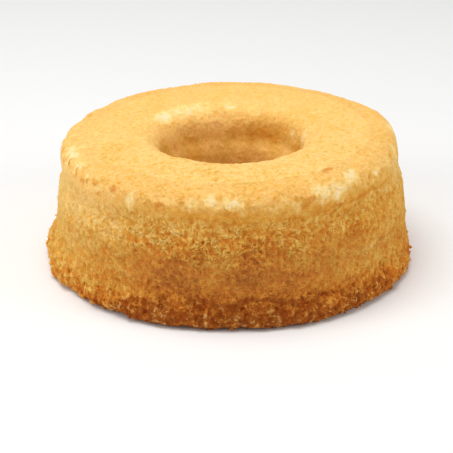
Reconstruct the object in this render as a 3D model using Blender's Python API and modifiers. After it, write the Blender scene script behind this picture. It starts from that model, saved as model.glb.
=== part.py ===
"""A vanilla ring cake of the angel food kind, turned out of its tube pan.

The whole cake is one solid: a tapered ring with a rounded shoulder, a rounded hole mouth, a compressed foot
and a torn, craggy crumb. It stands on its flat underside at z = 0, with its outer wall centred on the Z axis
and the side that the photograph shows facing -Y. Units are metres.
"""

import math

import bpy
from mathutils import Vector, noise

# Driving dimensions
CAKE_HEIGHT = 0.0705
FOOT_RADIUS = 0.1006  # the widest circle, just above the table
SHOULDER_RADIUS = 0.0920  # the outer wall where the shoulder begins to turn over
SHOULDER_ROUND = 0.0105
MOUTH_ROUND = 0.0125
HOLE_TOP_RADIUS = 0.0385  # the hole where its mouth begins to open
HOLE_BASE_RADIUS = 0.0345
HOLE_OFFSET = 0.0016  # the hole sits a little to the right of the cake's middle
FOOT_ROUND = 0.0040
HOLE_FOOT_ROUND = 0.0030
WALL_TILT = math.radians(10)  # the outer wall leans in by this much
CROWN = 0.0006  # how much the middle of the top stands above its two edges
TOP_RISE = 0.0014  # how much higher the shoulder is at +X, and lower at -X, as the cake rose unevenly
TABLE_REACH = 0.0040  # up to this height the relief moves points less and less up or down

# How finely the surface is divided
STEPS_ROUND = 138
TOP_PARTS, SHOULDER_PARTS, WALL_PARTS, CORNER_PARTS = 6, 4, 14, 3
BASE_PARTS, HOLE_CORNER_PARTS, HOLE_PARTS, MOUTH_PARTS = 1, 2, 9, 4
MERGE_REACH = 0.00001

# Relief of the crumb: the size of the lumps and how far they stand out
WOBBLE_SIZE, WOBBLE_DEPTH = 0.060, 0.0012
LUMP_SIZE, LUMP_DEPTH = 0.024, 0.0012
CRAG_SIZE, CRAG_DEPTH = 0.0125, 0.0022
CRAG_RIDGE = 0.45  # the share of a torn cell that its ridge takes up
CRUMB_SEED = Vector((3.7, 11.2, 5.9))  # where in the noise the lumps are read
SKIN_SHARE = 0.10  # how much of the crags the smooth skin shows
SKIN_LUMPS = 0.35  # and how much of the lumps
HOLE_SHARE = 0.55  # how much of the crags the wall of the hole shows
TOP_WOBBLE = 0.40  # how much of the widest wobble the top shows

# The groove below the shoulder. Above it the wall keeps its soft skin, and below it the crumb is torn open
GROOVE_HEIGHT, GROOVE_REACH, GROOVE_DEPTH = 0.0530, 0.0070, 0.0010
GROOVE_WANDER = 0.0035
BELLY_DROP, BELLY_REACH, BELLY_DEPTH = 0.0130, 0.0120, 0.0006
DEEP_SIDE, DEEP_REACH, DEEP_MORE = 52, 44, 0.0009  # the groove is deeper here: angle, reach round, added depth

# The fold above the compressed foot, deepest at the front right, and the lip that was pressed out below it
CREASE_HEIGHT, CREASE_REACH, CREASE_DEPTH = 0.0145, 0.0050, 0.0019
CREASE_SIDE, CREASE_ROUND, CREASE_LEAST, CREASE_WANDER = 38, 62, 0.35, 0.0016
LIP_DROP, LIP_REACH, LIP_DEPTH = 0.0065, 0.0050, 0.0010

# The fold in the wall of the hole and the swelling below it
FOLD_HEIGHT, FOLD_REACH, FOLD_DEPTH, FOLD_WANDER = 0.0540, 0.0055, 0.0014, 0.0015
SWELL_DROP, SWELL_REACH, SWELL_DEPTH = 0.0110, 0.0110, 0.0016

# Uneven places on the wall: angle from the front in degrees, height, reach round, reach up, and how far the
# wall is worn in there, or pushed out where the figure is negative
UNEVEN_PLACES = (
    (-27, 0.003, 24, 0.012, -0.0010),
    (-69, 0.001, 6, 0.006, -0.0046),
    (-87, 0.006, 7, 0.006, -0.0014),
    (-90, 0.023, 28, 0.014, 0.0022),
    (-1, 0.001, 4, 0.005, 0.0026),
    (3.5, 0.001, 4, 0.004, -0.0024),
    (11, 0.001, 5, 0.004, -0.0020),
    (82, 0.013, 8, 0.006, 0.0022),
    (-88, 0.040, 46, 0.026, 0.0028),
    (-124, 0.068, 7, 0.008, 0.0016),
    (58, 0.066, 12, 0.008, 0.0008),
    (106, 0.066, 32, 0.017, -0.0023),
    (64, 0.006, 36, 0.020, -0.0024),
    (30, 0.004, 26, 0.013, -0.0019),
    (150, 0.020, 18, 0.012, 0.0016),
    (-160, 0.004, 14, 0.008, 0.0024),
)

CRUMB_COLOUR = (0.80, 0.47, 0.15, 1.0)
CRUMB_ROUGHNESS = 0.85


def clear_scene():
    """Removes what the startup file holds."""
    for old in list(bpy.data.objects):
        bpy.data.objects.remove(old)


def blend(low, high, value):
    """0 below low, 1 above high, and a smooth step between them. Swapped limits turn it round."""
    part = min(1.0, max(0.0, (value - low) / (high - low)))
    return part * part * (3 - 2 * part)


def bump(centre, reach, value):
    """1 at the centre, falling smoothly to 0 at the reach on both sides."""
    return blend(reach, 0.0, abs(value - centre))


def degrees_apart(first, second):
    """The angle between two directions, from 0 to 180 degrees."""
    return abs((first - second + 180) % 360 - 180)


def arc(centre_r, centre_z, radius, first, last, parts):
    """The points after the first one along an arc of the section, with its angles in degrees."""
    points = []
    for i in range(1, parts + 1):
        angle = math.radians(first + (last - first) * i / parts)
        points.append((centre_r + radius * math.cos(angle), centre_z + radius * math.sin(angle)))
    return points


def line(start, end, parts):
    """The points after the first one along a straight stretch of the section."""
    return [
        (start[0] + (end[0] - start[0]) * i / parts, start[1] + (end[1] - start[1]) * i / parts)
        for i in range(1, parts + 1)
    ]


def ring_section():
    """The closed section as (radius, height): out along the top, down the wall, back and up the hole."""
    tilt = math.degrees(WALL_TILT)
    mouth_r = HOLE_TOP_RADIUS + MOUTH_ROUND
    mouth_z = CAKE_HEIGHT - MOUTH_ROUND
    shoulder_r = SHOULDER_RADIUS - SHOULDER_ROUND
    shoulder_z = CAKE_HEIGHT - SHOULDER_ROUND
    foot_r = FOOT_RADIUS - FOOT_ROUND
    hole_foot_r = HOLE_BASE_RADIUS + HOLE_FOOT_ROUND

    points = line((mouth_r, CAKE_HEIGHT), (shoulder_r, CAKE_HEIGHT), TOP_PARTS)
    points += arc(shoulder_r, shoulder_z, SHOULDER_ROUND, 90, tilt, SHOULDER_PARTS)
    foot_top = (foot_r + FOOT_ROUND * math.cos(WALL_TILT), FOOT_ROUND * (1 + math.sin(WALL_TILT)))
    points += line(points[-1], foot_top, WALL_PARTS)
    points += arc(foot_r, FOOT_ROUND, FOOT_ROUND, tilt, -90, CORNER_PARTS)
    points += line(points[-1], (hole_foot_r, 0.0), BASE_PARTS)
    points += arc(hole_foot_r, HOLE_FOOT_ROUND, HOLE_FOOT_ROUND, 270, 180, HOLE_CORNER_PARTS)
    points += line(points[-1], (HOLE_TOP_RADIUS, mouth_z), HOLE_PARTS)
    points += arc(mouth_r, mouth_z, MOUTH_ROUND, 180, 90, MOUTH_PARTS)
    return points


def turned_ring(name, section):
    """Turns the closed section about Z with a Screw modifier, and gives the result as a mesh object."""
    outline = bpy.data.meshes.new(name + "_section")
    last = len(section) - 1
    edges = [(i, i + 1) for i in range(last)] + [(last, 0)]
    outline.from_pydata([(r, 0.0, z) for r, z in section], edges, [])
    turned = bpy.data.objects.new(name + "_section", outline)
    bpy.context.scene.collection.objects.link(turned)

    screw = turned.modifiers.new("turn", "SCREW")
    screw.axis = "Z"
    screw.angle = math.tau
    screw.steps = screw.render_steps = STEPS_ROUND
    screw.use_merge_vertices = True
    screw.merge_threshold = MERGE_REACH

    graph = bpy.context.evaluated_depsgraph_get()
    mesh = bpy.data.meshes.new_from_object(turned.evaluated_get(graph))
    mesh.name = name
    bpy.data.objects.remove(turned)
    return bpy.data.objects.new(name, mesh)


def lumps(place, size, octaves):
    """Seeded fractal noise, about -1 to 1, whose lumps are about this size."""
    return noise.fractal(place / size + CRUMB_SEED, 1.0, 2.0, octaves)


def crags(place, size):
    """Open torn cells: 0 in the middle of a cell, and 1 on the ridges between cells."""
    near, second = noise.voronoi(place / size + CRUMB_SEED)[0][:2]
    return 1.0 - min(1.0, (second - near) / CRAG_RIDGE)


def groove_relief(angle, place):
    """The shallow groove that the shoulder overhangs, and the belly of the wall below it."""
    edge = GROOVE_HEIGHT + GROOVE_WANDER * lumps(place, 0.030, 2)
    depth = GROOVE_DEPTH + DEEP_MORE * bump(0, DEEP_REACH, degrees_apart(angle, DEEP_SIDE))
    out = -depth * bump(edge, GROOVE_REACH, place.z)
    out += BELLY_DEPTH * bump(edge - BELLY_DROP, BELLY_REACH, place.z)
    return out


def foot_relief(angle, place):
    """The crease above the compressed foot, and the lip below it."""
    front = bump(0, CREASE_ROUND, degrees_apart(angle, CREASE_SIDE))
    strength = CREASE_LEAST + (1 - CREASE_LEAST) * front
    crease = CREASE_HEIGHT + CREASE_WANDER * lumps(place, 0.045, 1)
    out = -CREASE_DEPTH * strength * bump(crease, CREASE_REACH, place.z)
    out += LIP_DEPTH * strength * bump(crease - LIP_DROP, LIP_REACH, place.z)
    return out


def uneven_relief(angle, place):
    """The places where the wall is worn in or pushed out."""
    out = 0.0
    for centre, level, reach, rise, depth in UNEVEN_PLACES:
        out -= depth * bump(0, reach, degrees_apart(angle, centre)) * bump(level, rise, place.z)
    return out


def hole_relief(place):
    """How far the wall of the hole stands into the hole."""
    fold = FOLD_HEIGHT + FOLD_WANDER * lumps(place, 0.030, 1)
    out = SWELL_DEPTH * bump(fold - SWELL_DROP, SWELL_REACH, place.z)
    out -= FOLD_DEPTH * bump(fold, FOLD_REACH, place.z)
    return out


def top_relief(radius):
    """The slight crown of the top, lowest at the mouth and at the shoulder."""
    mouth_r = HOLE_TOP_RADIUS + MOUTH_ROUND
    middle = (mouth_r + SHOULDER_RADIUS) / 2
    return CROWN * bump(middle, SHOULDER_RADIUS - middle, radius)


def relief_at(place, normal):
    """How far a point of the turned ring moves along its normal, which points out of the cake."""
    radius = math.hypot(place.x, place.y)
    angle = math.degrees(math.atan2(place.x, -place.y))
    outward = (normal.x * place.x + normal.y * place.y) / radius
    faces_out = blend(0.1, 0.6, outward)
    faces_in = blend(0.1, 0.6, -outward)
    faces_up = blend(0.4, 0.9, normal.z)
    torn = blend(GROOVE_HEIGHT + 0.004, GROOVE_HEIGHT - 0.006, place.z)
    rough = max(SKIN_SHARE, faces_out * torn, HOLE_SHARE * faces_in)

    out = WOBBLE_DEPTH * lumps(place, WOBBLE_SIZE, 1) * (1 - (1 - TOP_WOBBLE) * faces_up)
    out += LUMP_DEPTH * lumps(place, LUMP_SIZE, 2) * max(SKIN_LUMPS, rough)
    out += CRAG_DEPTH * (crags(place, CRAG_SIZE) - 0.5) * rough
    wall = groove_relief(angle, place) + foot_relief(angle, place) + uneven_relief(angle, place)
    out += wall * faces_out
    out += hole_relief(place) * faces_in
    out += top_relief(radius) * faces_up
    return out


def shape_crumb(cake):
    """Moves each point by the relief, tips the top, keeps the underside flat, and sets the hole off centre."""
    moves = []
    for vertex in cake.data.vertices:
        move = vertex.normal * relief_at(vertex.co, vertex.normal)
        move.z *= blend(0.0, TABLE_REACH, vertex.co.z)
        radius = math.hypot(vertex.co.x, vertex.co.y)
        move.x += HOLE_OFFSET * blend(SHOULDER_RADIUS, HOLE_TOP_RADIUS, radius)
        move.z += TOP_RISE * vertex.co.x / SHOULDER_RADIUS * vertex.co.z / CAKE_HEIGHT
        moves.append(move)
    for vertex, move in zip(cake.data.vertices, moves):
        vertex.co += move
        vertex.co.z = max(0.0, vertex.co.z)


def centre_on_axis(cake):
    """Slides the cake so that the Z axis runs through the middle of its width and of its depth."""
    for axis in (0, 1):
        reach = [vertex.co[axis] for vertex in cake.data.vertices]
        middle = (min(reach) + max(reach)) / 2
        for vertex in cake.data.vertices:
            vertex.co[axis] -= middle


def crumb_material():
    """Golden baked crumb."""
    material = bpy.data.materials.new("golden_crumb")
    material.use_nodes = True
    shader = material.node_tree.nodes["Principled BSDF"]
    shader.inputs["Base Color"].default_value = CRUMB_COLOUR
    shader.inputs["Roughness"].default_value = CRUMB_ROUGHNESS
    shader.inputs["Metallic"].default_value = 0.0
    return material


def build():
    clear_scene()
    parts = bpy.data.collections.new("vanilla_cake")
    bpy.context.scene.collection.children.link(parts)
    cake = turned_ring("cake", ring_section())
    shape_crumb(cake)
    centre_on_axis(cake)
    cake.data.materials.append(crumb_material())
    cake.data.shade_smooth()
    parts.objects.link(cake)


build()
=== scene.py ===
# %% [markdown]
# # A vanilla ring cake, baked in a tube pan
# This lesson dresses one solid, a ring of angel food sponge, in the skin and crumb of a real cake.
# The solid already has the right size, lean and lumps, so all else is measured from it.

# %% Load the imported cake
import math

import bmesh
import bpy
import numpy as np
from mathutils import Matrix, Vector, noise
from mathutils.bvhtree import BVHTree


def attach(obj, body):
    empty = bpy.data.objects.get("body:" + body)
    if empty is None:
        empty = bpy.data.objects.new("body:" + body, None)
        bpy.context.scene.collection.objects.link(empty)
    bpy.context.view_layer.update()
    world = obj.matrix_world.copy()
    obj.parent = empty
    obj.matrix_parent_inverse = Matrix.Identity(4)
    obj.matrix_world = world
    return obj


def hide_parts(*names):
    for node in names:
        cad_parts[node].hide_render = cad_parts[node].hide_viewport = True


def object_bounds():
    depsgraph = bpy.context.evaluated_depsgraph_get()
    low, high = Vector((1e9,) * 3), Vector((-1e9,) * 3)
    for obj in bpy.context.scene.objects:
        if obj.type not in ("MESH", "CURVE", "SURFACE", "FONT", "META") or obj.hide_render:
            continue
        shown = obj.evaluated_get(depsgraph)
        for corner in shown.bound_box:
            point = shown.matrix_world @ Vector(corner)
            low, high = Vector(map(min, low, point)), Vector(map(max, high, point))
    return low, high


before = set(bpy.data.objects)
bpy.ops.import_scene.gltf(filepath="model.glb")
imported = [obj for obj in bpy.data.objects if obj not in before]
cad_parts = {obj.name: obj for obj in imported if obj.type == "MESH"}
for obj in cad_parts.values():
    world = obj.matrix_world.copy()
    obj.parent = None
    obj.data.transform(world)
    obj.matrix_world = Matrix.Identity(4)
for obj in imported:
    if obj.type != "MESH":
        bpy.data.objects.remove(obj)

cad_box = [list(corner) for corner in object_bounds()]
print("the solid's box in mm:", [[round(1000 * c, 1) for c in corner] for corner in cad_box])

# %% [markdown]
# ## The cut through the ring
# A tube cake is a turned shape. Its cut runs up the hole, over the mouth, out along the top, over
# the shoulder and down the wall. Every skin below is laid along part of this one path.
# Turning it by hand, and not with a modifier, keeps the points in rows and columns, easy to smooth.

# %% Draw the path of the cut
CAKE_HEIGHT, FOOT_RADIUS, SHOULDER_RADIUS = 0.0705, 0.1006, 0.0920
SHOULDER_ROUND, MOUTH_ROUND, FOOT_ROUND, HOLE_FOOT_ROUND = 0.0105, 0.0125, 0.0040, 0.0030
HOLE_TOP_RADIUS, HOLE_BASE_RADIUS, HOLE_OFFSET = 0.0385, 0.0345, 0.0020
WALL_TILT = 10.0
TOP_RISE = 0.0014  # how much higher the right shoulder rose, and how much lower the left one


def arc(centre_r, centre_z, radius, first, last):
    """Points along an arc of the cut, from one angle in degrees to another."""
    turn = np.radians(np.linspace(first, last, 25))
    return np.stack([centre_r + radius * np.cos(turn), centre_z + radius * np.sin(turn)], 1)


shoulder_middle = SHOULDER_RADIUS - SHOULDER_ROUND, CAKE_HEIGHT - SHOULDER_ROUND
shoulder = arc(*shoulder_middle, SHOULDER_ROUND, 90, WALL_TILT)
foot = arc(FOOT_RADIUS - FOOT_ROUND, FOOT_ROUND, FOOT_ROUND, WALL_TILT, -90)
hole_foot = arc(HOLE_BASE_RADIUS + HOLE_FOOT_ROUND, HOLE_FOOT_ROUND, HOLE_FOOT_ROUND, 270, 180)
mouth = arc(HOLE_TOP_RADIUS + MOUTH_ROUND, CAKE_HEIGHT - MOUTH_ROUND, MOUTH_ROUND, 180, 90)


def even_steps(path, spacing):
    """The path resampled at an even spacing, with the normals that point out of the cake."""
    path = np.array(path)
    along = np.concatenate([[0], np.cumsum(np.linalg.norm(np.diff(path, axis=0), axis=1))])
    steps = np.linspace(0, along[-1], int(round(along[-1] / spacing)) + 1)
    points = np.stack([np.interp(steps, along, path[:, i]) for i in (0, 1)], 1)
    run = np.gradient(points, axis=0)
    run /= np.linalg.norm(run, axis=1, keepdims=True)
    return points, np.stack([-run[:, 1], run[:, 0]], 1)


JOINT_RADIUS = 0.0765  # where the sheet of the top ends and that of the wall begins
TOP_STEP, WALL_STEP, BASE_STEP = 0.00066, 0.00042, 0.00110  # spacings of the rows
LAP = 9  # rows that each sheet has past the joint until they are cut
HOLE_HEM, WALL_HEM = 0.003, 0.006  # how far the skins run on below the cake
BASE_FROM_FOOT, BASE_FROM_HOLE = 0.002, 0.0005  # how far the underside stays from the rounded edges

crown_path = [hole_foot[0] + (HOLE_HEM, 0), *hole_foot, *mouth]
crown_path.append((JOINT_RADIUS + LAP * TOP_STEP, CAKE_HEIGHT))
wall_path = [(JOINT_RADIUS - LAP * WALL_STEP, CAKE_HEIGHT), *shoulder, *foot]
wall_path.append(foot[-1] - (WALL_HEM, 0))
base_path = [foot[-1] - (BASE_FROM_FOOT, 0), hole_foot[0] + (BASE_FROM_HOLE, 0)]
print("corner points of the three paths:", len(crown_path), len(wall_path), len(base_path))

# %% [markdown]
# ## Helpers that read noise and blend
# Crumb is irregular at every scale. Blender's own noise gives lumps, and its cell noise gives the
# closed bubbles and torn bubbles of foam. Both are read at points in space, so they never stretch
# and have no seam. The widths below are shares of a cell.

# %% Noise and blending for whole arrays of points
LUMP_SHIFT, FOAM_SHIFT = 7.31, 3.77  # how far one seed lies from the next, in lumps and in cells
LEAST_PORE, PORE_SPREAD = 0.22, 0.46  # the smallest pore, and how much larger the largest is
PORE_WALL, RIDGE_WIDTH, KNOB_RADIUS = 0.34, 0.24, 0.72


def blend(low, high, value):
    """0 below low, 1 above high, and a smooth step between them. Swapped limits turn it round."""
    part = np.clip((value - low) / (high - low), 0, 1)
    return part * part * (3 - 2 * part)


def bump(centre, reach, value):
    """1 at the centre, falling smoothly to 0 at the reach on both sides."""
    return blend(reach, 0.0, np.abs(value - centre))


def degrees_apart(first, second):
    """The angle between directions, from 0 to 180 degrees."""
    return np.abs((first - second + 180) % 360 - 180)


def toward(angle, direction, reach):
    """1 in one direction, falling smoothly to 0 so many degrees to either side of it."""
    return bump(0, reach, degrees_apart(angle, direction))


def lumps(points, size, seed):
    """Smooth noise, about -1 to 1, with lumps of this size."""
    flat = points.reshape(-1, 3) / size + seed * LUMP_SHIFT
    return np.array([noise.noise(place) for place in flat.tolist()]).reshape(points.shape[:-1])


def foam(points, size, seed):
    """How deep each point lies in an open pore of foam, and how near it is to a thin wall of it."""
    flat = points.reshape(-1, 3) / size + seed * FOAM_SHIFT
    found = [noise.voronoi(place) for place in flat.tolist()]
    reach = np.array([near[:2] for near, _ in found])
    drawn = np.array([abs(noise.cell(places[0] * 37.0)) for _, places in found])
    pore = np.clip(1 - (reach[:, 0] / (LEAST_PORE + PORE_SPREAD * drawn)) ** 2, 0, 1)
    walls = 1 - np.clip((reach[:, 1] - reach[:, 0]) / PORE_WALL, 0, 1)
    return pore.reshape(points.shape[:-1]), walls.reshape(points.shape[:-1])


def ridges(points, size, seed):
    """Thin curly ridges: 1 along the lines where smooth noise changes sign, 0 a little way off."""
    return 1 - np.clip(np.abs(lumps(points, size, seed)) / RIDGE_WIDTH, 0, 1)


def knobs(points, size, seed):
    """Rounded crumbs side by side: 1 on top of a crumb, and 0 in the creases between them."""
    flat = points.reshape(-1, 3) / size + seed * FOAM_SHIFT
    near = np.array([noise.voronoi(place)[0][0] for place in flat.tolist()])
    return (1 - np.clip(near / KNOB_RADIUS, 0, 1) ** 2).reshape(points.shape[:-1])


def stirred(points, size, amount, seed):
    """The points moved about by noise, so that what is read there loses its regular look."""
    return points + amount * np.stack([lumps(points, size, seed + i) for i in (0, 1, 2)], -1)


print("a lump reads", round(float(lumps(np.array([[0.01, 0.02, 0.03]]), 0.01, 1)[0]), 3))

# %% [markdown]
# ## Laying a sheet of points on the solid
# A skin starts as a sheet of rows and columns on the turned path. Each point is then dropped on to
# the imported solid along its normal, and the drop is smoothed, which keeps the solid's lumps and
# loses its flat facets. The relief of the crumb is added to that.

# %% Drop a sheet on to the solid
PROBE = 0.008  # how far outside and inside the path the solid is looked for
DROP_SMOOTHING = 0.0018
CROWN_COLUMNS, WALL_COLUMNS, BASE_COLUMNS = 560, 1440, 420

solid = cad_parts["cake"]
corners = [v.co.copy() for v in solid.data.vertices]
solid_tree = BVHTree.FromPolygons(corners, [tuple(p.vertices) for p in solid.data.polygons])


def smoothed(values, cells):
    """Smoothed by so many cells, closed round the columns and held at the end rows."""
    reach = int(3 * cells) + 1
    weights = np.exp(-0.5 * (np.arange(-reach, reach + 1) / cells) ** 2)
    weights /= weights.sum()
    padded = np.pad(values, ((reach, reach), (0, 0)), mode="edge")
    rows = sum(w * padded[i : i + values.shape[0]] for i, w in enumerate(weights))
    return sum(w * np.roll(rows, i - reach, axis=1) for i, w in enumerate(weights))


def turned(cut, turn):
    """The cut turned about the cake's middle, with a column of points for each angle."""
    radius, height = cut[:, 0:1], cut[:, 1:2]
    places = np.broadcast_arrays(radius * np.sin(turn), -radius * np.cos(turn), height)
    return np.stack(places, -1).copy()


def sheet_on_solid(path, spacing, columns):
    """Rows and columns of points on the solid, with their normals and their angles in degrees."""
    section, section_normals = even_steps(path, spacing)
    angle = np.linspace(-180, 180, columns, endpoint=False)
    points, normals = turned(section, np.radians(angle)), turned(section_normals, np.radians(angle))
    points[..., 0] += HOLE_OFFSET * blend(SHOULDER_RADIUS, HOLE_TOP_RADIUS, section[:, 0:1])
    drop = np.zeros(points.shape[:2])
    for i, j in np.ndindex(*drop.shape):
        out = Vector(normals[i, j])
        hit = solid_tree.ray_cast(Vector(points[i, j]) + out * PROBE, -out, 2 * PROBE)
        drop[i, j] = PROBE - hit[3] if hit[0] is not None else 0.0
    drop = smoothed(drop, DROP_SMOOTHING / spacing)
    points += normals * drop[..., None]
    return {"points": points, "normals": normals, "angle": np.broadcast_to(angle, drop.shape)}


def normals_of(points):
    """The true normals of a sheet, from its rows and columns."""
    down = np.gradient(points, axis=0)
    across = np.roll(points, -1, axis=1) - np.roll(points, 1, axis=1)
    cross = np.cross(down, across)
    return cross / np.maximum(np.linalg.norm(cross, axis=-1, keepdims=True), 1e-12)


crown = sheet_on_solid(crown_path, TOP_STEP, CROWN_COLUMNS)
wall = sheet_on_solid(wall_path, WALL_STEP, WALL_COLUMNS)
base = sheet_on_solid(base_path, BASE_STEP, BASE_COLUMNS)
for name, sheet in (("crown", crown), ("wall", wall), ("base", base)):
    print(name, "sheet:", sheet["points"].shape[:2], "points")

# %% [markdown]
# ## Zones of the crumb
# The pan gave the top a soft golden skin, which ends in a ragged line at the shoulder. Under it
# the crumb is close and velvety, then torn open: lacy at the front, fibrous lower down, and coarse
# at the foot. Each zone is a share from 0 to 1 at every point, which relief and colour both read.
# Directions are in degrees: 0 is the front, -90 the left and 90 the right.

# %% Measure the zones
SKIN_EDGE, TORN_EDGE = 0.0645, 0.0565  # heights where the skin ends and the torn crumb begins
LACE_HEIGHT, LACE_REACH = 0.0455, 0.0155
FOOT_TOP, FOOT_FULL = 0.024, 0.009  # heights where the coarse foot begins, and where it is fullest
TOP_OUTER_HALF = 0.065  # beyond this distance from the hole's middle, the skin can end


def level_of(points):
    """The height that each point would have if the cake had risen evenly."""
    return points[..., 2] / (1 + TOP_RISE * points[..., 0] / (SHOULDER_RADIUS * CAKE_HEIGHT))


def ragged_edges(points, angle):
    """The heights where the skin ends and the torn crumb begins, and the share of the left."""
    left = toward(angle, -60, 48)
    skin = SKIN_EDGE + 0.0016 * lumps(points, 0.026, 11)
    skin = skin + 0.0022 * lumps(points * (1, 1, 0.4), 0.0050, 12)
    skin += left * (0.0010 + 0.0034 * lumps(points * (1, 1, 0.2), 0.0062, 13))
    torn = TORN_EDGE + 0.0022 * lumps(points, 0.020, 14) + 0.0016 * lumps(points, 0.0045, 15)
    torn += 0.0020 * toward(angle, 50, 30)
    torn += 0.0060 * (toward(angle, 100, 36) + toward(angle, -96, 26))
    return skin, torn, left


def zones(points, angle):
    """The share of skin, torn crumb, lace, foot and hole at each point."""
    height = level_of(points)
    from_hole = np.linalg.norm(points[..., :2] - (HOLE_OFFSET, 0), axis=-1)
    outside = blend(0.060, 0.070, from_hole)
    skin_edge, torn_edge, left = ragged_edges(points, angle)
    past_edge = height - skin_edge
    torn_over = 0.0042 - 0.0028 * toward(angle, 52, 46)  # the height over which it tears open
    torn = outside * blend(1, -1, (height - torn_edge) / torn_over)
    lacy_sides = np.maximum(toward(angle, -8, 76), 0.45 * toward(angle, 172, 70))
    band = bump(0, LACE_REACH, height - LACE_HEIGHT - 0.0030 * lumps(points, 0.030, 21))
    in_hole = blend(0.0490, 0.0410, from_hole)
    in_hole = in_hole * blend(0.0700, 0.0600, height + 0.0018 * lumps(points, 0.006, 57))
    rim = outside * bump(0.0010, 0.0034, past_edge)
    below_edge = blend(-0.0009, 0.0009, past_edge)
    return {
        "over_side": blend(0.074, 0.080, from_hole),
        "skinned": np.where(from_hole < TOP_OUTER_HALF, 1 - in_hole, below_edge),
        "rim": rim * blend(-0.15, 0.45, lumps(points, 0.0085, 16)),
        "fringe": outside * bump(-0.0005, 0.0052, past_edge) * (0.35 + 0.65 * left),
        "lip": bump(0, 0.0018, height - torn_edge + 0.0008) * toward(angle, 48, 42),
        "torn": torn,
        "lace": np.clip(1.3 * torn * band * lacy_sides, 0, 1),
        "foot": outside * blend(FOOT_TOP, FOOT_FULL, height),
        "hole": in_hole,
    }


for sheet in (crown, wall):
    sheet.update(zones(sheet["points"], sheet["angle"]))
print("share of the wall sheet that is torn:", round(float(wall["torn"].mean()), 2))

# %% [markdown]
# ## The relief of the crumb
# Under a lens the torn crumb is foam whose bubbles were ripped open: pits a few millimetres wide
# with thin curly walls between them, over larger lumps. The skin is the same foam pressed flat, so
# it only shows a fine grain. In the lacy band the curly walls stand highest. Loose threads laid
# over the wall would cast hard dark shadows that soft sponge doesn't have, so the lace is raised
# from the wall itself. It is all in the mesh, because relief that a material draws has no shape.

# %% Places with a look of their own
PALE_PLACES = (  # angle in degrees, radius and height in mm, reach in mm, strength
    (-76, 86, 69, 8, 0.9), (-70, 89, 67, 8, 1.0), (-62, 89, 67, 8, 1.0), (-54, 91, 66, 5, 0.7),
    (-48, 91, 63, 6, 0.6), (-33, 91, 62, 7, 0.9), (-22, 91, 63, 6, 0.5), (-11, 90, 65, 7, 0.7),
    (-5, 89, 67, 7, 0.9), (1, 89, 65, 7, 0.8), (5, 90, 63, 6, 0.6), (14, 91, 62, 7, 0.6),
    (22, 92, 62, 7, 0.7), (30, 90, 66, 8, 0.8), (37, 90, 65, 9, 1.0), (44, 89, 67, 8, 0.8),
    (47, 86, 70, 7, 0.5), (57, 91, 66, 6, 0.8), (96, 90, 66, 12, 0.7), (75, 93, 60, 6, 0.4),
    (68, 90, 65, 7, 0.7), (78, 90, 65, 8, 0.7), (86, 92, 60, 8, 0.5), (-123, 46, 69, 9, 0.8),
    (-136, 46, 69, 10, 0.8), (-150, 46, 69, 10, 0.8), (-164, 46, 69, 9, 0.7),
    (178, 46, 69, 8, 0.7), (160, 44, 67, 7, 0.7), (102, 42, 64, 8, 0.8), (88, 42, 60, 7, 0.8),
    (118, 42, 62, 8, 0.6), (30, 80, 71, 9, 0.4), (-12, 76, 71, 8, 0.3), (60, 70, 71, 8, 0.4),
    (100, 60, 71, 9, 0.4), (-90, 70, 71, 9, 0.3), (150, 88, 67, 12, 0.7), (-165, 90, 64, 12, 0.7),
    (-118, 90, 65, 9, 0.4), (68, 99, 12, 5, 1.0), (48, 96, 30, 6, 0.7), (52, 96, 33, 5, 0.5),
    (-38, 99, 5, 8, 0.7), (-60, 98, 12, 6, 0.5), (-74, 97, 30, 7, 0.5), (-68, 95, 48, 8, 0.5),
    (4, 99, 3, 6, 0.6), (-20, 99, 22, 7, 0.35), (-32, 98, 24, 8, 0.45), (2, 98, 24, 8, 0.3),
    (20, 98, 26, 8, 0.35), (128, 97, 28, 9, 0.8), (-140, 96, 36, 8, 0.6),
)
SPOT_PLACES = (  # the same, for small patches that browned more
    (-72, 90, 66, 5.4, 0.7), (-66, 91, 65, 6.0, 0.7), (-58, 90, 66, 6.4, 0.7),
    (-49, 91, 64, 5.0, 0.7), (-40, 90, 66, 6.4, 0.7), (-36, 91, 63, 5.6, 0.7),
    (-27, 92, 62, 6.0, 0.7), (-22, 91, 62, 4.7, 1.0), (-46, 92, 60, 5.2, 0.6),
    (-19, 70, 71, 2.9, 0.9), (39, 79, 71, 4.7, 0.9), (41, 77, 71, 4.4, 0.8),
    (45, 80, 71, 3.4, 0.8), (-112, 84, 70, 5.2, 0.6), (-103, 88, 68, 5.2, 0.6),
    (-1, 91, 60, 4.7, 0.5), (4, 92, 58, 3.9, 0.5), (13, 92, 60, 4.5, 0.5), (27, 91, 64, 6.5, 0.7),
    (24, 92, 61, 5.2, 0.6), (62, 91, 65, 4.7, 0.6), (70, 91, 64, 4.7, 0.5),
    (-128, 38, 52, 5.2, 0.6), (150, 88, 66, 5.2, 0.5),
)
DENT_PLACES = (
    (-110, 88, 69, 9, 1.0), (-96, 91, 64, 6, 0.5), (74, 99, 12, 6, 0.8), (4, 100, 3, 6, 0.9),
)


def patches(points, places, spread=1.0):
    """The sum of soft round patches at named places, each spread out by so many times its reach."""
    total = np.zeros(points.shape[:-1])
    for angle, radius, height, reach, strength in places:
        turn = math.radians(angle)
        centre = np.array([radius * math.sin(turn), -radius * math.cos(turn), height]) / 1000
        off_centre = np.linalg.norm(points - centre, axis=-1)
        total += strength * blend(spread * reach / 1000, 0, off_centre)
    return total


print(len(PALE_PLACES), "pale places and", len(SPOT_PLACES), "brown spots")

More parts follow.
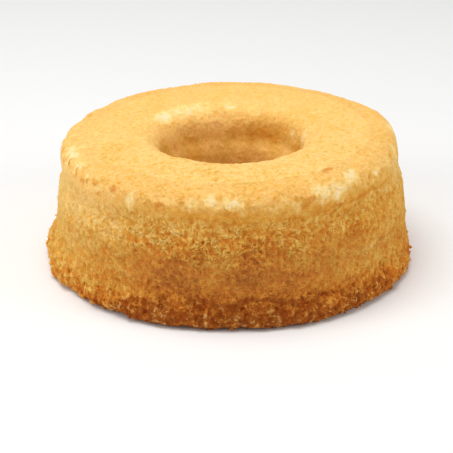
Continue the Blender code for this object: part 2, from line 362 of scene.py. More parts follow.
# %% Work out the relief
PORE_SIZE, SMALL_PORE_SIZE = 0.0032, 0.0018
FIBRE_SIZE, SMALL_FIBRE_SIZE = 0.0022, 0.0013
CLUMP_SIZE, SMALL_CLUMP_SIZE = 0.0050, 0.0024
PORE_DEPTH, LACE_PORE_DEPTH, SMALL_PORE_DEPTH = 0.00030, 0.00015, 0.00020
FIBRE_HEIGHT, LACE_FIBRE_HEIGHT, LACE_DEPTH = 0.00024, 0.00036, 0.00020
CLUMP_HEIGHT, KNOB_HEIGHT = 0.0012, 0.00020


def crumb_relief(sheet):
    """How far the crumb stands out, how open it is (1 on a crest), its fibres and its sand."""
    points = sheet["points"]
    torn, lace, foot_share, in_hole = (sheet[zone] for zone in ("torn", "lace", "foot", "hole"))
    rough = np.clip(torn + 0.35 * in_hole, 0, 1)
    moved = stirred(stirred(points, 0.0040, 0.0011, 31), 0.0014, 0.0004, 34)
    pore, thin_walls = foam(moved, PORE_SIZE, 32)
    small_pore, _ = foam(moved, SMALL_PORE_SIZE, 33)
    curly = stirred(points, 0.0020, 0.0013, 44)
    fibre = np.maximum(0.85 * ridges(curly, FIBRE_SIZE, 36), ridges(curly, SMALL_FIBRE_SIZE, 37))
    fibre = fibre * blend(-0.45, 0.25, lumps(points, 0.0030, 48))
    grain, knob = lumps(points, 0.0011, 39), lumps(points, 0.0024, 41)
    sand = lumps(points, 0.0021, 49) + 0.6 * lumps(points, 0.0012, 50)
    clumps = 0.60 * knobs(moved, CLUMP_SIZE, 42) + 0.40 * knobs(moved, SMALL_CLUMP_SIZE, 43) - 0.5

    # The shape: soft lumps everywhere, clumps on the foot, and pores and fibres where it is rough.
    out = 0.00025 * lumps(points, 0.0085, 40) * (1 + rough + 0.8 * foot_share)
    out += 0.00014 * grain * (1 + rough) + 0.00026 * knob + 0.00020 * (1 - rough) * sand
    out += foot_share * (CLUMP_HEIGHT * clumps + KNOB_HEIGHT * knob)
    pore_depth = 0.00003 + rough * (PORE_DEPTH + LACE_PORE_DEPTH * lace)
    out -= pore_depth * pore + (0.00004 + SMALL_PORE_DEPTH * rough) * small_pore
    fibre_height = 0.00003 + rough * (FIBRE_HEIGHT + LACE_FIBRE_HEIGHT * lace)
    out += rough * 0.00012 * thin_walls + fibre_height * fibre - LACE_DEPTH * lace

    # How open it lies, for the colour and its painted shade in hollows. The left wall is softer, so
    # it is more even there.
    walls = 0.10 * grain + 0.10 * knob + 0.9 * foot_share * clumps
    walls -= (0.08 + 0.22 * rough) * pore + (0.08 + 0.16 * rough) * small_pore
    walls += 0.12 * rough * thin_walls + (0.06 + 0.38 * rough) * fibre
    soft_side = toward(sheet["angle"], -90, 66) * (1 - foot_share)
    is_open = np.clip(0.5 + walls * (1 - 0.45 * soft_side), 0, 1)
    return out, is_open, fibre * (0.25 + 0.60 * torn + 0.6 * lace), sand


def torn_places(sheet):
    """The ragged share of pale crumb, partly painted highlight and painted light, and of browned
    spots.
    """
    points = stirred(stirred(sheet["points"], 0.0045, 0.0020, 81), 0.0016, 0.0011, 87)
    height, angle = points[..., 2], sheet["angle"]
    streaky = points * (1, 1, 0.6)
    ragged = 0.55 * lumps(streaky, 0.0048, 73) + 0.55 * lumps(streaky, 0.0021, 74)
    places = patches(points, PALE_PLACES, 1.2) * (0.55 + 0.45 * blend(0.050, 0.058, height))
    pale = blend(0.05, 1.35, 1.15 * places + 0.70 * ragged) * blend(0.02, 0.40, places)
    # Faint pale crumb along the shoulder's crest and the hole's mouth, partly a painted highlight
    # there.
    crest = sheet["over_side"] * bump(0.0640, 0.0060, height)
    crest = crest + sheet["hole"] * bump(0.064, 0.007, height)
    # Pale down the left wall: partly paler crumb, partly painted light.
    left_wall = sheet["over_side"] * toward(angle, -84, 66) * blend(0.016, 0.040, height)
    faint = (0.20 + 0.45 * ragged) * np.clip(crest + 1.2 * left_wall, 0, 1.3)
    pale = np.maximum(pale, faint).clip(0, 1)
    spots = blend(0.22, 0.85, patches(points, SPOT_PLACES) * (1 + 1.8 * ragged))
    fingers = lumps(points * (1, 1, 0.42), 0.0040, 91)
    fingers = fingers + 0.5 * lumps(points * (1, 1, 0.6), 0.0018, 92)
    spots = np.maximum(spots, sheet["fringe"] * blend(0.10, 0.50, fingers))
    # Paler crests on the foot: partly pale crumb, partly painted highlight.
    crests = 0.30 * sheet["foot"] * blend(0.62, 0.95, sheet["open"])
    crests = crests * blend(-0.3, 0.4, lumps(points, 0.0028, 93))
    return np.maximum(0.86 * pale * (1 - spots), crests), spots


for sheet in (crown, wall):
    relief, sheet["open"], sheet["fibre"], sheet["sand"] = crumb_relief(sheet)
    sheet["pale"], sheet["spots"] = torn_places(sheet)
    relief += 0.00012 * sheet["skinned"] - 0.00055 * sheet["foot"] - 0.00035
    relief += 0.00018 * sheet["spots"] - 0.00030 * sheet["pale"] + 0.0005 * sheet["lip"]
    relief -= 0.0013 * patches(sheet["points"], DENT_PLACES)
    sheet["surface"] = sheet["points"] + sheet["normals"] * relief[..., None]
print("the wall's relief in mm:", [round(1000 * float(f(relief)), 2) for f in (np.min, np.max)])

# %% [markdown]
# ## Keeping the skins inside the solid's box
# Where a skin would stray past the solid's box it is brought back to it. The hidden hems run in
# the plane of the underside, and two skins in one plane show through each other in flecks. So the
# hems are lifted a little, and the underside has small pores of its own.

# %% Trim the skins and tuck their hems under
TUCK = 0.0014
HOLE_TUCK, WALL_TUCK = (0.0376, 0.0398), (0.0955, 0.0930)  # radii where the lift begins and ends
BASE_PORE_SIZE, BASE_PORE_DEPTH = 0.0042, 0.0009


def inside_solid_box(points):
    """The points, with any that stray past the solid's box brought back to it."""
    return np.clip(points, *cad_box)


def tucked_under(points, middle_x, radii):
    """The points, with the hem that runs below the cake lifted between two radii."""
    radius = np.linalg.norm(points[..., :2] - (middle_x, 0), axis=-1)
    lift = TUCK * blend(*radii, radius) * (points[..., 2] < HOLE_FOOT_ROUND)
    return points + np.array([0, 0, 1]) * lift[..., None]


for sheet, middle_x, radii in ((crown, HOLE_OFFSET, HOLE_TUCK), (wall, 0.0, WALL_TUCK)):
    sheet["points"] = tucked_under(inside_solid_box(sheet["surface"]), middle_x, radii)
base_pore, _ = foam(stirred(base["points"], 0.003, 0.001, 61), BASE_PORE_SIZE, 62)
base["open"] = 0.8 - 0.8 * base_pore
base["points"] = base["points"] + (0, 0, BASE_PORE_DEPTH) * base_pore[..., None]
for sheet in (crown, wall, base):
    sheet["true_normals"] = normals_of(sheet["points"])
print("the hems are lifted by up to", 1000 * TUCK, "mm")

# %% [markdown]
# ## What colours the crumb
# The oven browned the foot most and the top least, in blotches. The front has painted shade.
# Where skin was pulled off, pale crumb shows. These shares are stored on the points, and the
# finishes read them from there.

# %% Baking in blotches
FRONT_DARKEST = 4.0  # the direction where the painted shade is darkest
BAKING_BY_HEIGHT = (  # height in mm, and how far the wall is baked there
    (0, 0.99), (7, 0.86), (14, 0.81), (22, 0.81), (30, 0.69), (38, 0.60), (46, 0.50), (58, 0.38),
    (66, 0.25),
)
FRONT_PAINTED_SHADE = ((0, 0.20), (20, 0.09), (70, 0.05))  # height in mm, and how much painted shade the front gains
SIDE_PALENESS_AND_PAINTED_LIGHT = ((-86, 80, -0.24), (-45, 50, -0.10), (95, 60, -0.08))  # direction, reach, strength; partly paler crumb, partly painted light
BAND_BAKING = (  # direction, reach, height and reach in mm, strength
    (95, 60, 54, 16, -0.08), (-76, 50, 24, 14, -0.10), (-24, 46, 60, 14, 0.12),
    (0, 24, 41, 13, 0.11), (20, 50, 26, 10, 0.05),
)
RAGGED_BAND_BAKING = ((44, 34, 20, 8, -0.12), (-32, 50, 30, 9, 0.08))  # the same, ragged in height
FOOT_BAKING = (  # direction, reach, heights in mm where it begins and is full, strength
    (-10, 44, 14, 3, 0.40), (34, 46, 16, 6, 0.27), (-52, 34, 14, 4, 0.10),
)


def by_height(height, table):
    """The value at each height, from a table with heights in mm."""
    levels, values = zip(*table)
    return np.interp(height, [level / 1000 for level in levels], values)


def bands(angle, height, table):
    """The sum of soft patches, each round a direction and a height."""
    total = 0.0
    for direction, spread, level, reach, strength in table:
        near_level = bump(level / 1000, reach / 1000, height)
        total = total + strength * toward(angle, direction, spread) * near_level
    return total


def wall_baking(sheet, blotch, facing_front):
    """How far the wall is baked: by height and direction, with painted shade on the front and
    painted light on the sides, then by crease, by pore with painted shade in hollows, and by
    blotch.
    """
    points, angle, height = sheet["points"], sheet["angle"], level_of(sheet["points"])
    ragged = height + 0.0050 * lumps(points, 0.015, 83) + 0.0026 * lumps(points, 0.0050, 84)
    side = by_height(ragged, BAKING_BY_HEIGHT)
    # Painted shade: darker towards the front, lighter towards the back.
    side = side + by_height(height, FRONT_PAINTED_SHADE) * (facing_front - 0.6)
    side += 0.06 * lumps(points * (1, 1, 0.35), 0.0042, 79) * blend(0.030, 0.052, height)
    side += 0.11 * lumps(points * (0.45, 0.45, 1), 0.0075, 80) * blend(0.050, 0.036, height)
    # The sides are lighter, most of all the left: partly paler crumb, partly painted light.
    for direction, reach, strength in SIDE_PALENESS_AND_PAINTED_LIGHT:
        side += strength * toward(angle, direction, reach)
    side += bands(angle, height, BAND_BAKING) + bands(angle, ragged, RAGGED_BAND_BAKING)
    for direction, reach, begins, full, strength in FOOT_BAKING:
        near_foot = blend(begins / 1000, full / 1000, ragged)
        side += strength * toward(angle, direction, reach) * near_foot
    side -= 0.16 * toward(angle, 48, 46) * blend(0.050, 0.030, height)
    slanting = ragged - 0.00022 * angle
    side += 0.12 * toward(angle, 42, 50) * bump(0.030, 0.008, slanting)
    crease = bump(0.0160, 0.0036, ragged) * blend(36, 16, degrees_apart(angle, 17))
    side += 0.22 * (crease + sheet["rim"] + sheet["lip"])
    side += sheet["lace"] * (0.12 - 0.10 * sheet["fibre"])
    # Painted shade in the hollows and painted light on the crests, as a change of baking.
    side -= (0.14 + 0.14 * sheet["foot"] + 0.12 * sheet["lace"]) * (sheet["open"] - 0.5)
    return side + (0.13 + 0.05 * sheet["foot"]) * blotch


def skin_baking(sheet, blotch, toward_front):
    """How far the skin is baked, on the top and down the hole."""
    points, height = sheet["points"], level_of(sheet["points"])
    shade = 0.13 + (0.08 + 0.08 * toward_front) * blotch + 0.30 * sheet["rim"]
    # Painted shade down the hole: its skin is darker there, in blotches.
    shade += sheet["hole"] * (0.12 + 0.18 * blotch + 0.08 * bump(0.054, 0.006, height))
    shade += 0.36 * sheet["hole"] * blend(0.0045, 0.0005, height)
    shade -= 0.15 * sheet["sand"] * (0.25 + 0.75 * toward_front) * (1 + 0.7 * sheet["over_side"])
    freckle = blend(0.50, 0.66, lumps(points, 0.0045, 75))
    return shade + 0.12 * freckle * blend(-0.1, 0.35, lumps(points, 0.024, 76))


def baking(sheet):
    """How far each point is baked, from 0 for the palest skin to 1 for the darkest foot."""
    points = sheet["points"]
    blotch = 0.85 * lumps(points, 0.017, 71) + 0.40 * lumps(points, 0.007, 72)
    blotch = blotch + 0.35 * lumps(points, 0.0030, 77)
    facing_front = np.cos(np.radians(sheet["angle"] - FRONT_DARKEST))
    outer = np.linalg.norm(points[..., :2], axis=-1) > 0.060
    skinned = np.where(outer, sheet["skinned"], 1.0)
    skin = skin_baking(sheet, blotch, 0.5 + 0.5 * facing_front)
    return np.clip(skin * skinned + wall_baking(sheet, blotch, facing_front) * (1 - skinned), 0, 1)


def fuzz_and_painted_shade(sheet):
    """How strongly curls and mottling show, and how much painted shade dims the colour."""
    toward_front = 0.5 + 0.5 * np.cos(np.radians(sheet["angle"]))
    fuzz = np.clip(0.30 + 0.75 * toward_front + sheet["torn"] - 0.6 * sheet["hole"], 0, 1)
    fuzz = fuzz * (1 - 0.65 * sheet["over_side"] * (1 - sheet["torn"]))
    height, near_left = level_of(sheet["points"]), toward(sheet["angle"], -38, 52)
    # Painted shade: on the middle and the foot of the front, under the shoulder on the left, on the
    # lacy band and down the hole.
    painted_shade = bump(0.0280, 0.0190, height) * toward_front**2
    painted_shade = painted_shade + 0.4 * bump(0.0560, 0.0110, height) * near_left
    painted_shade += 0.3 * bump(0.0050, 0.0110, height) * toward_front**2
    painted_shade += 0.3 * sheet["lace"] * toward_front
    return fuzz, sheet["over_side"] * painted_shade + 0.2 * sheet["hole"]


for sheet in (crown, wall):
    sheet["baked"] = baking(sheet)
    sheet["fuzz"], sheet["painted_shade"] = fuzz_and_painted_shade(sheet)
base["baked"] = np.clip(0.62 + 0.14 * lumps(base["points"], 0.012, 78), 0, 1)
for share, value in (("pale", 0.0), ("spots", 0.0), ("fibre", 0.0), ("fuzz", 0.5), ("painted_shade", 0.0)):
    base[share] = np.full(base["points"].shape[:2], value)
for name, sheet in (("wall", wall), ("top", crown)):
    print("mean baking of the", name, round(float(sheet["baked"].mean()), 2))

# %% [markdown]
# ## From sheets to meshes
# Each sheet becomes one mesh, and the wall becomes four quarters, so that no piece is too heavy.
# The whole sheet's true normals are stored on each piece, which hides the joints between them.
# The map for painted textures cuts the long strip in equal lengths and stacks them in a square.

# %% Build a piece from a sheet
FIELDS = ("open", "baked", "pale", "spots", "fibre", "fuzz", "painted_shade")
ACROSS_MARGIN, DOWN_MARGIN = 0.003, 0.01  # left free round each strip in the map


def mesh_piece(name, verts, faces, fields, normals):
    """A mesh with a smooth look, and with fields and normals stored on its points."""
    mesh = bpy.data.meshes.new(name)
    mesh.from_pydata(verts, [], faces.tolist())
    for field_name, values in fields.items():
        stored = mesh.attributes.new(field_name, "FLOAT", "POINT").data
        stored.foreach_set("value", np.ascontiguousarray(values).ravel().astype(np.float32))
    mesh.shade_smooth()
    mesh.normals_split_custom_set_from_vertices(normals.reshape(-1, 3).tolist())
    piece = bpy.data.objects.new(name, mesh)
    bpy.context.scene.collection.objects.link(piece)
    print(name, "has", len(faces) * (faces.shape[1] - 2), "triangles")
    return piece


def strip_map(quads, rows, columns, lengths):
    """Each corner's place in the map, where the lengths of the strip lie one above another."""
    along = quads[:, :1] % columns / (columns - 1) * lengths
    length_of = np.minimum(along.astype(int), lengths - 1)
    across = (quads % columns) / (columns - 1) * lengths - length_of
    across = ACROSS_MARGIN + (1 - 2 * ACROSS_MARGIN) * across
    down = DOWN_MARGIN + (1 - 2 * DOWN_MARGIN) * (quads // columns) / (rows - 1)
    return np.stack([across, (length_of + down) / lengths], -1)


def piece_from_sheet(name, sheet, kept_rows, first, last, lengths):
    """A mesh of some rows and of the columns from first to last, mapped in so many lengths."""
    columns = np.arange(int(first), int(last) + 1) % sheet["points"].shape[1]
    kept = {key: sheet[key][kept_rows][:, columns] for key in ("points", "true_normals", *FIELDS)}
    rows, count = kept["points"].shape[:2]
    index = np.arange(rows * count).reshape(rows, count)
    quads = [index[:-1, :-1], index[1:, :-1], index[1:, 1:], index[:-1, 1:]]
    quads = np.stack(quads, -1).reshape(-1, 4)
    fields = {field_name: kept[field_name] for field_name in FIELDS}
    verts = kept["points"].reshape(-1, 3)
    piece = mesh_piece(name, verts, quads, fields, kept["true_normals"])
    uv = strip_map(quads, rows, count, lengths)
    piece.data.uv_layers.new(name="OFBake").data.foreach_set("uv", uv.astype(np.float32).ravel())
    return piece


quarter = WALL_COLUMNS // 4
up_to_joint, past_joint, every_row = slice(None, -LAP), slice(LAP, None), slice(None)
pieces = {"top_skin": piece_from_sheet("top_skin", crown, up_to_joint, 0, CROWN_COLUMNS, 2)}
for turn, name in enumerate(("left_crumb", "front_crumb", "right_crumb", "back_crumb")):
    ends = (turn + 0.5) * quarter, (turn + 1.5) * quarter
    pieces[name] = piece_from_sheet(name, wall, past_joint, *ends, 1)
pieces["underside"] = piece_from_sheet("underside", base, every_row, 0, BASE_COLUMNS, 3)

# %% [markdown]
# ## Crumbs
# Torn sponge sheds crumbs, and they cling where it was rubbed most: round the foot. Each is a
# small knobbly lump. They are made all at once from one pattern with its corners pushed about,
# because thousands of separate objects would be slow to build.

# %% Read a sheet between its points
def places_on(sheet, across, down, lift):
    """Points between columns and rows, lifted off the sheet, and the way it faces there."""
    rows, columns = sheet["surface"].shape[:2]
    down = np.clip(down, 0, rows - 1.001)
    i, j = np.floor(down).astype(int), np.floor(across).astype(int)
    a, b = (down - i)[..., None], (across - j)[..., None]
    found = []
    for key in ("surface", "normals"):
        grid = sheet[key]
        near = grid[i, j % columns] * (1 - b) + grid[i, (j + 1) % columns] * b
        far = grid[i + 1, j % columns] * (1 - b) + grid[i + 1, (j + 1) % columns] * b
        found.append(near * (1 - a) + far * a)
    return found[0] + found[1] * lift[..., None], found[1]


def value_at(sheet, share, across, down):
    """A stored share of the sheet at the nearest point."""
    rows, columns = sheet["points"].shape[:2]
    row = np.clip(np.round(down).astype(int), 0, rows - 1)
    return sheet[share][row, np.round(across).astype(int) % columns]


def unit(directions):
    """The directions with a length of 1."""
    return directions / (np.linalg.norm(directions, axis=-1, keepdims=True) + 1e-12)


# %% Scatter crumbs
CRUMB_TRIES, CRUMB_SEED = 15000, 201
LEAST_RADIUS, MOST_RADIUS = 0.00032, 0.00095
SUNK = 0.75  # the share of its radius that a crumb lies in the wall
OWN_SHADING = 0.90  # the share of a crumb's own shape in its shading, the rest being the wall's


def crumb_pattern():
    """Corners and faces of an eighty-sided ball of radius 1."""
    mesh = bpy.data.meshes.new("crumb_pattern")
    ball = bmesh.new()
    bmesh.ops.create_icosphere(ball, subdivisions=2, radius=1.0)
    ball.to_mesh(mesh)
    ball.free()
    ball_corners = np.array([v.co for v in mesh.vertices])
    sides = np.array([tuple(p.vertices) for p in mesh.polygons])
    bpy.data.meshes.remove(mesh)
    return ball_corners, sides


def chance_to_stay(across, down):
    """A crumb stays on torn crumb, and only on the foot."""
    return value_at(wall, "torn", across, down) * 0.22 * value_at(wall, "foot", across, down)


def scattered_crumbs(name):
    """Crumbs all over the foot of the wall, as one piece."""
    ball, ball_sides = crumb_pattern()
    rng = np.random.default_rng(CRUMB_SEED)
    rows, columns = wall["points"].shape[:2]
    across, down = rng.random(CRUMB_TRIES) * columns, 1 + rng.random(CRUMB_TRIES) * (rows - 3)
    stays = rng.random(CRUMB_TRIES) < chance_to_stay(across, down)
    across, down = across[stays], down[stays]
    count, each = len(across), len(ball)
    size = LEAST_RADIUS + (MOST_RADIUS - LEAST_RADIUS) * rng.random(count) ** 2.2
    middle, facing = places_on(wall, across, down, size * (1 - SUNK))
    far_apart = rng.uniform(0, 90, (count, 1, 3))
    knobbly = 1 + 0.75 * lumps(ball[None] * 1.15 + far_apart, 1.0, 5)[..., None]
    stretch = rng.uniform(0.50, 1.60, (count, 1, 3)) * knobbly
    turn, _ = np.linalg.qr(rng.normal(0, 1, (count, 3, 3)))
    shape = np.einsum("nij,nkj->nki", turn, ball[None] * stretch) * size[:, None, None]
    verts = inside_solid_box(middle[:, None] + shape)
    faces = ball_sides[None] + (np.arange(count) * each)[:, None, None]
    mirrored = np.linalg.det(turn) < 0
    faces[mirrored] = faces[mirrored][..., ::-1]
    fields = {}
    for share in ("baked", "pale", "painted_shade"):
        fields[share] = np.repeat(value_at(wall, share, across, down), each)
    fields["tip"] = np.repeat(rng.random(count) ** 2, each)
    fields["tint"] = np.repeat(rng.random(count), each)
    soft = unit(OWN_SHADING * unit(shape) + (1 - OWN_SHADING) * facing[:, None])
    return mesh_piece(name, verts.reshape(-1, 3), faces.reshape(-1, 3), fields, soft)


pieces["wall_crumbs"] = scattered_crumbs("wall_crumbs")

# %% [markdown]
# ## Finishes
# One group turns the stored shares into the colour of baked sponge, and every finish uses it with
# its own values. A second group gives the fine grain that is too small to model, and a third the
# small curls that lie on the crumb. Both tint the colour and feed a bump.

# %% The colour of baked sponge, as a node group
CREAM = (0.96, 0.735, 0.44, 1)
YELLOW = (0.91, 0.62, 0.215, 1)
# Painted shade in hollows: a darker, more orange tint.
PAINTED_HOLLOW_SHADE = (0.93, 0.62, 0.30, 1)
# The grey that painted shade mixes into the colour.
PAINTED_SHADE_TONE = (0.56, 0.38, 0.16, 1)
AMBER = (0.635, 0.236, 0.030, 1)
BAKED_COLOURS = (  # how far it is baked, from 0 to 1, and its colour
    (0.0, (0.905, 0.640, 0.250, 1)),  # pale straw
    (0.14, (0.90, 0.578, 0.182, 1)),  # straw
    (0.27, (0.82, 0.52, 0.136, 1)),  # deep straw
    (0.41, (0.75, 0.400, 0.068, 1)),  # gold
    (0.69, AMBER),
    (1.0, (0.30, 0.072, 0.008, 1)),  # brown
)
SPOT_STRENGTH, PAINTED_SHADE_SHARE = 0.60, 0.09
LEAST_LIGHT, GRAIN_LIGHT = 0.80, 0.36  # how bright the grain leaves the colour, and what it adds


def new_group(name, inputs, outputs):
    """An empty node group, with sockets as (name, default), where a default of None is a colour."""
    group = bpy.data.node_groups.new(name, "ShaderNodeTree")
    for direction, sockets in (("INPUT", inputs), ("OUTPUT", outputs)):
        for label, default in sockets:
            kind = "NodeSocketColor" if default is None else "NodeSocketFloat"
            socket = group.interface.new_socket(label, in_out=direction, socket_type=kind)
            if default is not None:
                socket.default_value = default
    given, result = group.nodes.new("NodeGroupInput"), group.nodes.new("NodeGroupOutput")
    return group, given.outputs, result.inputs


def linked(tree, kind, inputs=None, **settings):
    """A node with its settings made and its inputs set, or linked where the value is a socket."""
    node = tree.nodes.new(kind)
    for key, value in settings.items():
        setattr(node, key, value)
    for key, value in (inputs or {}).items():
        if isinstance(value, bpy.types.NodeSocket):
            tree.links.new(value, node.inputs[key])
        else:
            node.inputs[key].default_value = value
    return node


def mixed(tree, factor, first, second, mode="MIX"):
    """The result of a colour mix."""
    inputs = {0: factor, 6: first, 7: second}
    return linked(tree, "ShaderNodeMix", inputs, data_type="RGBA", blend_type=mode).outputs[2]


def maths(tree, operation, first, second=0.0):
    """The result of a sum, product or other operation."""
    return linked(tree, "ShaderNodeMath", {0: first, 1: second}, operation=operation).outputs[0]


def ramped(tree, value, low, high, from_low, to_high):
    """The value carried from one range to another by a smooth step."""
    inputs = {"Value": value, "From Min": low, "From Max": high}
    inputs.update({"To Min": from_low, "To Max": to_high})
    return linked(tree, "ShaderNodeMapRange", inputs, interpolation_type="SMOOTHSTEP").outputs[0]


def sponge_colour_group():
    """The baked colour, then spots, painted shade in hollows, pale crumb and a grey painted shade
    over it, and the grain.
    """
    shares = [("Baked", 0.3), ("Pale", 0.0), ("Spots", 0.0), ("Open", 0.5), ("Grain", 0.5)]
    shares += [("Depth", 0.5), ("Painted_shade", 0.0)]
    group, given, result = new_group("Sponge colour", shares, [("Colour", None)])
    ramp = linked(group, "ShaderNodeValToRGB", {0: given["Baked"]})
    stops = ramp.color_ramp.elements
    stops[0].color, stops[1].color = BAKED_COLOURS[0][1], BAKED_COLOURS[-1][1]
    for position, colour in BAKED_COLOURS[1:-1]:
        stops.new(position).color = colour
    spots = maths(group, "MULTIPLY", given["Spots"], SPOT_STRENGTH)
    body = mixed(group, spots, ramp.outputs[0], AMBER)
    # Painted shade in the hollows, as strong as the hollow shade share.
    painted_hollow_mask = maths(group, "MULTIPLY", maths(group, "SUBTRACT", 1.0, given["Open"]), given["Depth"])
    body = mixed(group, painted_hollow_mask, body, PAINTED_HOLLOW_SHADE, "MULTIPLY")
    body = mixed(group, ramped(group, given["Pale"], 0.0, 0.6, 0.0, 1.0), body, YELLOW)
    body = mixed(group, ramped(group, given["Pale"], 0.4, 1.0, 0.0, 1.0), body, CREAM)
    # Painted shade: a grey mixed in, and the colour made darker.
    painted_dimming = maths(group, "MULTIPLY", given["Painted_shade"], PAINTED_SHADE_SHARE)
    body = mixed(group, painted_dimming, body, PAINTED_SHADE_TONE)
    light = maths(group, "ADD", LEAST_LIGHT, maths(group, "MULTIPLY", given["Grain"], GRAIN_LIGHT))
    light = maths(group, "SUBTRACT", light, painted_dimming)
    grey = linked(group, "ShaderNodeCombineColor", {0: light, 1: light, 2: light}).outputs[0]
    group.links.new(mixed(group, 1.0, body, grey, "MULTIPLY"), result["Colour"])
    return group


sponge_colour = sponge_colour_group()
print("group made:", sponge_colour.name)

# %% Fine grain and small curls, as node groups
def fine_grain_group():
    """Soft noise with the rims of small cells, and a wider mottling."""
    outputs = [("Grain", 0.0), ("Mottle", 0.0)]
    group, given, result = new_group("Fine crumb grain", [("Size", 0.0010)], outputs)
    place = group.nodes.new("ShaderNodeTexCoord").outputs["Object"]
    scale = maths(group, "DIVIDE", 1.0, given["Size"])
    fine = {"Vector": place, "Scale": scale, "Detail": 2.0, "Roughness": 0.65}
    fine = linked(group, "ShaderNodeTexNoise", fine)
    cells = {"Vector": place, "Scale": maths(group, "MULTIPLY", scale, 0.7)}
    cells = linked(group, "ShaderNodeTexVoronoi", cells)
    wide = maths(group, "MULTIPLY", scale, 0.36)
    mottle = {"Vector": place, "Scale": wide, "Detail": 4.0, "Roughness": 0.78}
    mottle = linked(group, "ShaderNodeTexNoise", mottle)
    grain = maths(group, "MULTIPLY", fine.outputs[0], 0.7)
    rims = ramped(group, cells.outputs["Distance"], 0.10, 0.55, 0.0, 1.0)
    grain = maths(group, "ADD", grain, maths(group, "MULTIPLY", rims, 0.32))
    group.links.new(grain, result["Grain"])
    group.links.new(mottle.outputs[0], result["Mottle"])
    return group


def small_curls_group():
    """Thin lines that curl about, where one of two stirred noises is near its middle."""
    inputs = [("Size", 0.0025), ("Width", 0.05)]
    group, given, result = new_group("Small curls", inputs, [("Curls", 0.0)])
    place = group.nodes.new("ShaderNodeTexCoord").outputs["Object"]
    scale = maths(group, "DIVIDE", 1.0, given["Size"])
    plain = {"Scale": scale, "Detail": 0.0}
    stir = linked(group, "ShaderNodeTexNoise", {"Vector": place, **plain}).outputs["Color"]
    reach = maths(group, "MULTIPLY", given["Size"], 1.4)
    moved = linked(group, "ShaderNodeVectorMath", {0: stir, 3: reach}, operation="SCALE").outputs[0]
    moved = linked(group, "ShaderNodeVectorMath", {0: place, 1: moved}, operation="ADD").outputs[0]
    lines = []
    for shift in (0.0, 0.37):
        apart = {0: moved, 1: (shift, shift, shift)}
        shifted = linked(group, "ShaderNodeVectorMath", apart, operation="ADD").outputs[0]
        bed = linked(group, "ShaderNodeTexNoise", {"Vector": shifted, **plain}).outputs[0]
        off_line = maths(group, "ABSOLUTE", maths(group, "SUBTRACT", bed, 0.5))
        lines.append(ramped(group, off_line, 0.0, given["Width"], 1.0, 0.0))
    breaks = {"Vector": place, "Scale": maths(group, "MULTIPLY", scale, 0.6)}
    breaks = linked(group, "ShaderNodeTexNoise", breaks).outputs[0]
    whole = ramped(group, breaks, 0.42, 0.56, 0.0, 1.0)
    both = maths(group, "MAXIMUM", *lines)
    group.links.new(maths(group, "MULTIPLY", both, whole), result["Curls"])
    return group


fine_grain, small_curls = fine_grain_group(), small_curls_group()
print("groups made:", fine_grain.name, "and", small_curls.name)

# %% Finishes for skin and torn crumb
LIGHT_WANDERS, SKIN_SUBSURFACE = 0.0020, 0.35  # how far light wanders in the crumb, and its share
RED_GREEN_BLUE_REACH = (1.0, 0.55, 0.22)
CURL_SIZE, CURL_WIDTH = 0.0015, 0.055
LEAST_TIP, MOST_TIP = -0.10, 0.14  # how much less baked a loose crumb is than what it lies on


def field(tree, name):
    """A share that is stored on the points of the mesh."""
    return linked(tree, "ShaderNodeAttribute", attribute_name=name).outputs["Fac"]


def sponge_shader(material, subsurface):
    """The material's own shader: matt, with light that wanders a little way inside the crumb."""
    material.use_nodes = True
    shader = material.node_tree.nodes["Principled BSDF"]
    shader.inputs["Roughness"].default_value = 0.85
    shader.inputs["Specular IOR Level"].default_value = 0.06
    shader.inputs["Subsurface Weight"].default_value = subsurface
    shader.inputs["Subsurface Radius"].default_value = RED_GREEN_BLUE_REACH
    shader.inputs["Subsurface Scale"].default_value = LIGHT_WANDERS
    return shader


def coloured(tree, shader, shares):
    """The shader with the colour of baked sponge, worked out from these shares."""
    colour = linked(tree, "ShaderNodeGroup", shares, node_tree=sponge_colour)
    tree.links.new(colour.outputs["Colour"], shader.inputs["Base Color"])


def crumb_finish(name, grain_size, hollow_shade, bump_height, mottling, fibres, curling):
    """Skin or torn crumb: the stored shares, with fine grain and small curls drawn over them."""
    material = bpy.data.materials.new(name)
    shader, tree = sponge_shader(material, SKIN_SUBSURFACE), material.node_tree
    grain = linked(tree, "ShaderNodeGroup", {"Size": grain_size}, node_tree=fine_grain).outputs
    curls = {"Size": CURL_SIZE, "Width": CURL_WIDTH}
    curls = linked(tree, "ShaderNodeGroup", curls, node_tree=small_curls).outputs
    on_crests = ramped(tree, field(tree, "open"), 0.30, 0.70, 0.3, 1.0)
    raised = maths(tree, "MULTIPLY", field(tree, "fuzz"), on_crests)
    fuzz = maths(tree, "MULTIPLY", curls["Curls"], maths(tree, "MULTIPLY", raised, curling))
    mottle = maths(tree, "MULTIPLY", maths(tree, "SUBTRACT", grain["Mottle"], 0.5), mottling)
    mottle = maths(tree, "MULTIPLY", mottle, field(tree, "fuzz"))
    mottle = maths(tree, "SUBTRACT", mottle, maths(tree, "MULTIPLY", fuzz, 0.30))
    mottle = maths(tree, "SUBTRACT", mottle, maths(tree, "MULTIPLY", field(tree, "fibre"), fibres))
    shares = {label: field(tree, label.lower()) for label in ("Pale", "Spots", "Open", "Painted_shade")}
    shares["Baked"] = maths(tree, "ADD", field(tree, "baked"), mottle)
    coloured(tree, shader, {**shares, "Depth": hollow_shade, "Grain": grain["Grain"]})
    height = maths(tree, "ADD", grain["Grain"], fuzz)
    drawn = {"Strength": 0.7, "Distance": bump_height, "Height": height}
    drawn = linked(tree, "ShaderNodeBump", drawn)
    tree.links.new(drawn.outputs["Normal"], shader.inputs["Normal"])
    return material


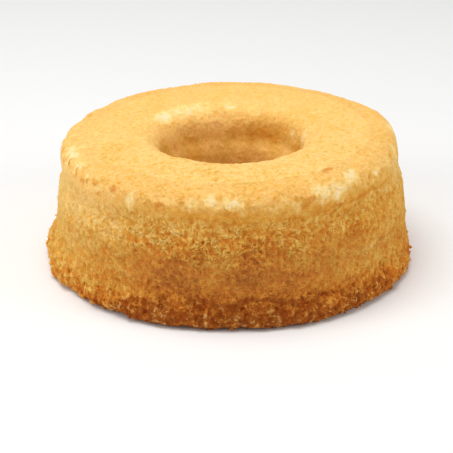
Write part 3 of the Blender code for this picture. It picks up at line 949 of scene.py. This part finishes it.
def loose_crumb_finish(name):
    """Crumbs: as baked as the ground that they lie on, and less so at the tips."""
    material = bpy.data.materials.new(name)
    shader, tree = sponge_shader(material, 0.0), material.node_tree
    tip = maths(tree, "ADD", field(tree, "tip"), maths(tree, "MULTIPLY", field(tree, "tint"), 0.35))
    tip = maths(tree, "MULTIPLY", tip, 0.74)
    lighter = ramped(tree, tip, 0.1, 0.9, LEAST_TIP, MOST_TIP)
    tint = maths(tree, "ADD", 0.35, maths(tree, "MULTIPLY", field(tree, "tint"), 0.4))
    shares = {"Baked": maths(tree, "SUBTRACT", field(tree, "baked"), lighter), "Grain": tint}
    coloured(tree, shader, {**shares, "Painted_shade": field(tree, "painted_shade"), "Depth": 0.0})
    return material


torn_finish = crumb_finish(
    "torn golden crumb",
    grain_size=0.0009, hollow_shade=0.85, bump_height=0.0009, mottling=0.50, fibres=0.18, curling=0.55,
)
finishes = {
    "top_skin": crumb_finish(
        "golden skin",
        grain_size=0.001, hollow_shade=0.60, bump_height=0.00035, mottling=1.75, fibres=0.10, curling=0.22,
    ),
    "underside": crumb_finish(
        "browned underside",
        grain_size=0.001, hollow_shade=0.60, bump_height=0.0005, mottling=0.25, fibres=0.0, curling=0.2,
    ),
    "wall_crumbs": loose_crumb_finish("loose crumbs"),
}
for name, piece in pieces.items():
    piece.data.materials.append(finishes.get(name, torn_finish))
    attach(piece, "root")
    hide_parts("cake")
print("finished", len(pieces), "pieces")

# %% [markdown]
# ## Table, light and camera
# The cake stands on a plain pale table under wide soft lamps, the strongest one overhead and a
# little to the left. The camera is a long lens from a little above, which keeps the ring flat.

# %% Table and lamps
TABLE_SIZE, TABLE_DROP = 12.0, 0.0002
TABLE_COLOUR, TABLE_ROUGHNESS = (0.90, 0.90, 0.89, 1), 0.7
LAMPS = (  # name, place, width in metres, power in watts
    ("overhead", (-0.20, -0.05, 1.35), 1.1, 12.9),
    ("left", (-1.3, -0.45, 0.65), 0.7, 5.3),
    ("right", (1.3, -0.40, 0.55), 0.7, 5.0),
    ("front", (-0.35, -1.35, 0.55), 0.8, 1.0),
)
LAMP_AIM = Vector((0, 0, 0.03))
ROOM_LIGHT = 0.38


half = TABLE_SIZE / 2
table_corners = ((-half, -half), (half, -half), (half, half), (-half, half))
table_mesh = bpy.data.meshes.new("table")
table_mesh.from_pydata([(x, y, -TABLE_DROP) for x, y in table_corners], [], [(0, 1, 2, 3)])
table = bpy.data.objects.new("table", table_mesh)
bpy.context.scene.collection.objects.link(table)
paint = bpy.data.materials.new("pale table")
paint.use_nodes = True
paint_inputs = paint.node_tree.nodes["Principled BSDF"].inputs
paint_inputs["Base Color"].default_value = TABLE_COLOUR
paint_inputs["Roughness"].default_value = TABLE_ROUGHNESS
table_mesh.materials.append(paint)


def soft_lamp(name, place, width, power):
    """A round lamp that shines on the cake."""
    lamp = bpy.data.lights.new(name, "AREA")
    lamp.shape, lamp.size, lamp.energy = "DISK", width, power
    holder = bpy.data.objects.new(name, lamp)
    holder.location = place
    holder.rotation_euler = (LAMP_AIM - Vector(place)).to_track_quat("-Z", "Y").to_euler()
    bpy.context.scene.collection.objects.link(holder)


for lamp in LAMPS:
    soft_lamp(*lamp)
world = bpy.data.worlds.new("studio")
world.use_nodes = True
room = world.node_tree.nodes["Background"].inputs
room["Color"].default_value, room["Strength"].default_value = (1, 1, 1, 1), ROOM_LIGHT
bpy.context.scene.world = world
bpy.context.scene.view_settings.view_transform = "Standard"

# %% Camera
AIM = Vector((-0.0008, 0.0, 0.0139))
DISTANCE, RISE = 0.8364, math.radians(23.75)
SENSOR_WIDTH, FOCAL_LENGTH = 36.0, 119.2  # in mm

lens = bpy.data.cameras.new("camera")
lens.sensor_width, lens.lens = SENSOR_WIDTH, FOCAL_LENGTH
camera = bpy.data.objects.new("camera", lens)
camera.location = AIM + DISTANCE * Vector((0, -math.cos(RISE), math.sin(RISE)))
camera.rotation_euler = (AIM - camera.location).to_track_quat("-Z", "Y").to_euler()
bpy.context.scene.collection.objects.link(camera)
bpy.context.scene.camera = camera
print("camera at", [round(c, 3) for c in camera.location])
